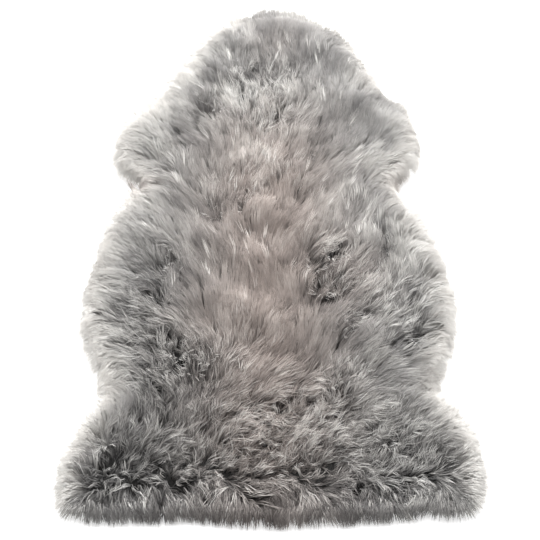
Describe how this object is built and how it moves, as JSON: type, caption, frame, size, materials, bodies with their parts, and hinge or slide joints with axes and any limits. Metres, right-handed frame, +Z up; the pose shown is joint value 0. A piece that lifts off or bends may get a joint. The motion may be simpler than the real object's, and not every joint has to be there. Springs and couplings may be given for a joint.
{
  "type": "sheepskin rug",
  "caption": "Single sheepskin rug lying flat with long grey wool up, cut to the natural skin outline with a rounded neck, leg lobes, waist and wide rear corners.",
  "frame": {"origin": "on the floor under the middle of the rug's outline", "axes": "+Z up, +Y along the rug from the wide rear end to the neck, +X to the right when the rug is seen from the rear end"},
  "size_m": [0.6386, 0.9968, 0.0543],
  "materials": {
    "wool": "long soft light grey wool in loose locks, warmer along the back, darker between the locks and paler at the tips",
    "hide": "tanned suede underside, pale greyish tan, matt"
  },
  "bodies": {
    "root": {"sheepskin": "wool"}
  },
  "joints": []
}
